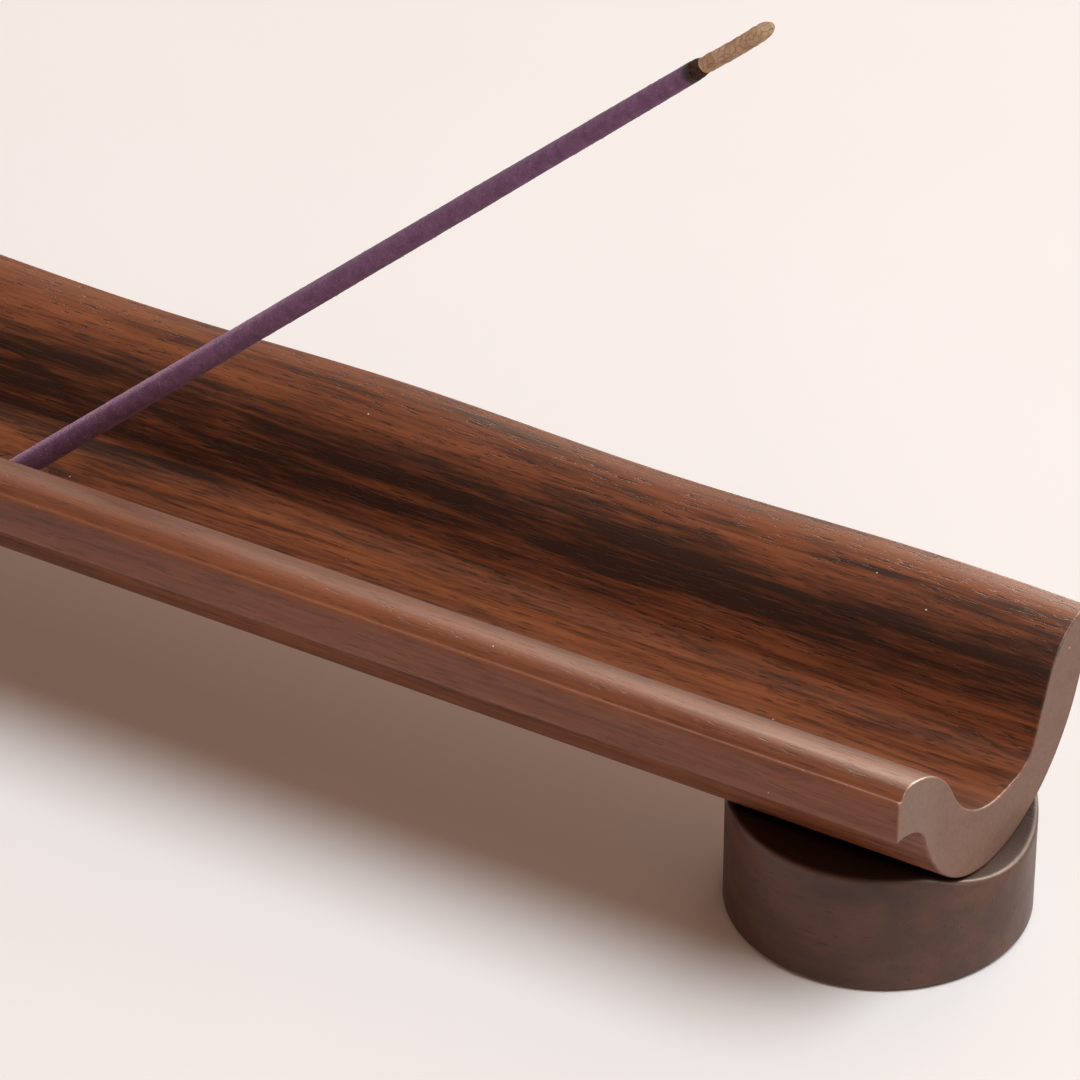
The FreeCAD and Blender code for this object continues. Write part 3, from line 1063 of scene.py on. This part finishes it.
@dataclass
class FeltPad:
    """A pressed felt disc in the recess beneath one foot, in millimetres."""

    end: End
    material: Material
    edge_round: float = 0.3
    around: int = 120
    nap: float = 0.05

    def build(self) -> Object:
        """Builds the disc with a soft, slightly ragged edge.

        Returns:
            The pad.
        """
        node = f"felt_pad_{self.end.value}"
        low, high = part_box(node)
        centre = (low + high) / 2
        radius, thick = (high.x - low.x) / 2 / MM, (high.z - low.z) / MM
        chance = np.random.default_rng(7 if self.end is End.LEFT else 11)
        ragged = chance.uniform(-self.nap, 0.0, self.around)
        ragged = (ragged + np.roll(ragged, 1)) / 2
        e = self.edge_round
        quarter = [(e * math.sin(a), e * math.cos(a)) for a in np.linspace(0, math.pi / 2, 5)]
        rings = [(radius * k / 8, thick) for k in range(1, 8)]
        rings += [(radius - e + out, thick - e + up) for out, up in quarter]
        rings += [(radius - e + out, e - down) for down, out in quarter]
        rings += [(radius * k / 8, 0.0) for k in range(7, 0, -1)]
        points = []
        for r, z in rings:
            for (x, y), tear in zip(directions(self.around), ragged):
                reach = (r + tear * (r / radius) ** 4) * MM
                points.append((centre.x + reach * x, centre.y + reach * y, low.z + z * MM))
        points += [(centre.x, centre.y, high.z), (centre.x, centre.y, low.z)]
        faces = lathe_faces(len(rings), self.around)
        piece = make_piece(f"felt_disc_{self.end.value}", points, faces, self.material)
        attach(piece, Body.HOLDER.value)
        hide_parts(node)
        return piece


@dataclass
class MetalPieces:
    """The screws and the brass sleeve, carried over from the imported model."""

    steel: ScrewSteel = field(default_factory=ScrewSteel)
    brass: SleeveBrass = field(default_factory=SleeveBrass)

    def dress(self) -> None:
        """Puts each finish on its piece's material slots."""
        for node, finish in (("foot_screws", self.steel), ("stick_sleeve", self.brass)):
            material = finish.material()
            for slot in frame["nodes"][node].material_slots:
                slot.link = "OBJECT"
                slot.material = material


@dataclass
class LitStick:
    """The incense stick with its char ring and its ash, in millimetres."""

    foot_radius: float = 1.25
    top_radius: float = 0.96
    fullness: float = 0.055
    rings: int = 300
    around: int = 30
    ripple: float = 0.035
    grain_radius: float = 0.045
    grains_per_mm2: float = 3.4
    seed: int = 5
    char_radius: float = 0.93
    ash_radius: float = 0.82
    ash_bend: float = 0.10
    bare_run: Pair = (7.5, 11.0)
    char_run: Pair = (-0.05, 1.25)
    ash_start: float = 1.15
    ash_gap: float = 0.75
    axis: Vector = field(init=False)
    side: Vector = field(init=False)
    foot: Vector = field(init=False)
    tip: Vector = field(init=False)

    def __post_init__(self) -> None:
        """Reads the stick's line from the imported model."""
        self.axis = Vector(frame["joints"][0]["axis"]).normalized()
        self.side = Vector((0.0, 1.0, 0.0))
        low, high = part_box("incense_stick")
        row = (low.y + high.y) / 2
        spread = Vector((self.axis.z, 0.0, self.axis.x)) * MM
        self.foot = Vector((low.x, row, low.z)) + spread * self.foot_radius
        self.tip = Vector((high.x, row, high.z)) - spread * self.top_radius

    def build_stick(self) -> Object:
        """Sweeps a round section up the stick's line and strews grains on it.

        Returns:
            The stick.
        """
        reach = (self.tip - self.foot).length
        paste = IncensePaste(foot=tuple(self.foot), axis=tuple(self.axis), reach=reach)
        t = ShapeTree("roll_incense_stick")
        foot = t.size("Foot", tuple(self.foot), "Vector")
        tip = t.size("Tip", tuple(self.tip), "Vector")
        rings = t.size("Rings", self.rings, "Int")
        wide = t.size("Foot radius", self.foot_radius * MM)
        narrow = t.size("Top radius", self.top_radius * MM)
        full = t.size("Fullness", self.fullness * MM)
        ripple = t.size("Ripple", self.ripple * MM)
        grain = t.size("Grain radius", self.grain_radius * MM)
        density = t.size("Grains per square metre", self.grains_per_mm2 * 1e6)
        seed = t.size("Seed", self.seed, "Int")
        finish = t.size("Finish", paste.material(), "Material")
        path = t.geo("ResampleCurve", t.geo("CurvePrimitiveLine", foot, tip), None, rings)
        share = t.geo("SplineParameter")
        taper = t.times_plus(share, t.minus(narrow, wide), wide)
        swell = t.times(t.maths("SINE", t.times(share, math.pi)), full)
        ring = t.add("GeometryNodeCurvePrimitiveCircle", self.around)
        t.feed(ring.inputs["Radius"], 1.0)
        tube = t.geo("CurveToMesh", path, ring.outputs[0], t.maths("ADD", taper, swell), True)
        spot = t.geo("InputPosition")
        from_foot = t.vectors("SUBTRACT", spot, foot).outputs[0]
        along = t.vectors("DOT_PRODUCT", from_foot, tuple(self.axis)).outputs[1]
        # The part in and just above the sleeve stays smooth.
        clear = t.fit(along, *(run * MM for run in self.bare_run))
        coarse = t.minus(t.noise(spot, 900.0, 3.0, 0.6), 0.5)
        slow = t.minus(t.noise(spot, 110.0, 2.0), 0.5)
        swing = t.times(t.times(t.maths("ADD", coarse, slow), ripple), clear)
        push = t.scaled(t.geo("InputNormal"), t.times(swing, 2.0))
        rough = t.geo("SetPosition", tube, None, None, push)
        strewn = t.add("GeometryNodeDistributePointsOnFaces", rough)
        t.feed(strewn.inputs["Density"], t.times(density, clear))
        t.feed(strewn.inputs["Seed"], seed)
        choice = t.add("FunctionNodeRandomValue", data_type="FLOAT")
        for index, value in ((2, 0.4), (3, 1.5), (8, seed)):
            t.feed(choice.inputs[index], value)
        speck = t.geo("MeshIcoSphere", grain, 1)
        grains = t.add("GeometryNodeInstanceOnPoints", strewn.outputs[0], None, speck)
        t.feed(grains.inputs["Scale"], choice.outputs[1])
        t.feed(grains.inputs["Rotation"], strewn.outputs["Rotation"])
        joined = t.add("GeometryNodeJoinGeometry")
        t.feed(joined.inputs[0], grains.outputs[0])
        t.feed(joined.inputs[0], rough)
        carrier = put("stick_line", bpy.data.meshes.new("stick_line"))
        piece = t.run("rolled_incense_stick", carrier, joined.outputs[0], finish)
        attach(piece, Body.STICK.value)
        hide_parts("incense_stick")
        return piece

    def crust(self, name: str, start: float, end: float, radii: list[Pair], bend: float,
              roughness: float, material: Material, seed: int) -> Object:
        """Builds a crumbly round piece on the stick's line.

        Args:
            name: The piece's name.
            start: Distance from the stick's foot where it begins.
            end: Where it ends.
            radii: Radius at shares of its length from 0 to 1.
            bend: How far its middle sags from the line.
            roughness: Depth of its crumbling.
            material: Its finish.
            seed: Seed of the crumbling.

        Returns:
            The piece.
        """
        chance = np.random.default_rng(seed)
        around, rings = 40, max(int((end - start) / 0.09), 14)
        up = self.side.cross(self.axis)
        waves = chance.uniform(0, 2 * math.pi, (10, 2))
        turns = chance.integers(1, 9, 10)
        lengths = chance.uniform(1.5, 9.0, 10)
        angles = np.linspace(0, 2 * math.pi, around, endpoint=False)
        points = []
        for share in 0.5 - 0.5 * np.cos(np.pi * np.linspace(0, 1, rings)):
            place = start + (end - start) * share
            radius = float(np.interp(share, *zip(*radii)))
            middle = self.foot + self.axis * place * MM + up * bend * math.sin(math.pi * share) * MM
            for angle in angles:
                about = np.sin(turns * angle + waves[:, 0])
                crumble = float(np.sum(about * np.sin(lengths * place + waves[:, 1]))) / 5
                r = radius * (1 + roughness * crumble) * MM
                points.append(middle + (self.side * math.cos(angle) + up * math.sin(angle)) * r)
        points.append(self.foot + self.axis * start * MM)
        points.append(self.foot + self.axis * (end + 0.02) * MM)
        piece = make_piece(name, points, lathe_faces(rings, around), material)
        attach(piece, Body.STICK.value)
        return piece

    def build_char(self) -> Object:
        """Builds the scorched ring at the top of the paste.

        Returns:
            The ring.
        """
        reach = (self.tip - self.foot).length / MM
        radii = [(0.0, 0.90), (0.12, self.char_radius), (0.6, 0.90), (1.0, self.ash_radius - 0.03)]
        start, end = (reach + run for run in self.char_run)
        material = Char().material()
        piece = self.crust("scorched_ring", start, end, radii, 0.0, 0.035, material, 21)
        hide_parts("char_ring")
        return piece

    def build_ash(self) -> Object:
        """Builds the standing ash with its blunt, rounded end.

        Returns:
            The ash.
        """
        reach = (self.tip - self.foot).length / MM
        end = (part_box("ash_tip")[1].x - self.foot.x) / self.axis.x / MM - self.ash_gap
        radii = [(0.0, 0.77), (0.08, 0.80), (0.5, 0.79), (0.84, 0.79)]
        radii += [(0.90, 0.71), (0.95, 0.54), (0.985, 0.34), (1.0, 0.10)]
        start, material = reach + self.ash_start, Ash().material()
        piece = self.crust("standing_ash", start, end, radii, self.ash_bend, 0.05, material, 4)
        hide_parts("ash_tip")
        return piece


# -------------------------------------------------------------------- studio


@dataclass
@dataclass(frozen=True)
class Lamp:
    """One round soft light that faces the object, in metres and watts."""

    name: str
    direction: Triple
    distance: float
    size: float
    power: float
    colour: Colour
    only_gloss: bool = False

    def hang(self, aim: Vector) -> None:
        """Hangs the light. One that is only for gloss shows only in reflections.

        Args:
            aim: The point that it faces.
        """
        lamp = bpy.data.lights.new(self.name, "AREA")
        lamp.shape, lamp.size, lamp.energy = "DISK", self.size, self.power
        lamp.color = self.colour
        holder = put(self.name, lamp)
        away = Vector(self.direction).normalized()
        holder.location = aim + away * self.distance
        holder.rotation_euler = (-away).to_track_quat("-Z", "Y").to_euler()
        holder.visible_diffuse = not self.only_gloss


class Studio:
    """The table, the lights and the camera. Lengths are in metres."""

    table_size: float = 6.0
    table_cells: int = 12
    lamps: tuple[Lamp, ...] = (
        Lamp("key_light", (0.46, -0.02, 0.88), 2.4, 1.45, 67.0, (0.780, 0.895, 0.980)),
        Lamp("back_light", (0.10, 0.86, 0.42), 1.6, 1.4, 74.0, (1.0, 0.80, 0.67), True),
        Lamp("side_card", (0.93, -0.18, 0.30), 1.3, 0.8, 9.0, (1.0, 0.92, 0.85), True),
    )
    sky_colour: Colour = (0.440, 0.292, 0.222)
    aim: Triple = (0.03261, 0.01332, 0.020)
    camera_distance: float = 0.5640
    camera_azimuth: float = 31.059
    camera_elevation: float = 33.490
    camera_lens: float = 188.87
    camera_reach: Pair = (0.01, 50.0)

    def lay_table(self) -> None:
        """Lays the pale table under the feet."""
        cells, row = self.table_cells, self.table_cells + 1
        line = [self.table_size * (i / cells - 0.5) for i in range(row)]
        corners = [j * row + i for j in range(cells) for i in range(cells)]
        faces = [(k, k + 1, k + row + 1, k + row) for k in corners]
        mesh = bpy.data.meshes.new("table_top")
        mesh.from_pydata([(x, y, 0.0) for y in line for x in line], [], faces)
        mesh.materials.append(TableTop().material())
        put("table_top", mesh)

    def light(self) -> None:
        """Hangs the key light and two cards for gloss, and fills in with the sky."""
        for lamp in self.lamps:
            lamp.hang(Vector(self.aim))
        world = bpy.data.worlds.new("studio_sky")
        world.use_nodes = True
        world.node_tree.nodes["Background"].inputs[0].default_value = (*self.sky_colour, 1.0)
        bpy.context.scene.world = world
        bpy.context.scene.view_settings.view_transform = "Standard"

    def set_camera(self) -> None:
        """Places the camera on a long lens, looking down the trough."""
        turn, pitch = math.radians(self.camera_azimuth), math.radians(self.camera_elevation)
        level = Vector((-math.sin(turn), math.cos(turn), 0.0)) * math.cos(pitch)
        ahead = level - Vector((0.0, 0.0, math.sin(pitch)))
        data = bpy.data.cameras.new("camera")
        data.lens, data.sensor_width = self.camera_lens, 36.0
        data.clip_start, data.clip_end = self.camera_reach
        camera = put("camera", data)
        camera.location = Vector(self.aim) - ahead * self.camera_distance
        camera.rotation_euler = ahead.to_track_quat("-Z", "Y").to_euler()
        bpy.context.scene.camera = camera


def main() -> None:
    logging.basicConfig(level=logging.INFO, format="%(name)s: %(message)s")
    studio = Studio()
    studio.set_camera()
    studio.lay_table()
    studio.light()
    pieces = [Trough().build()]
    foot_wood, felt = FootWood().material(), Felt().material()
    for end in End:
        pieces.append(Foot(end, foot_wood).build())
        pieces.append(FeltPad(end, felt).build())
    MetalPieces().dress()
    stick = LitStick()
    pieces += [stick.build_stick(), stick.build_char(), stick.build_ash()]
    for piece in pieces:
        log.info("%s: %d faces", piece.name, len(piece.data.polygons))


if __name__ == "__main__":
    main()
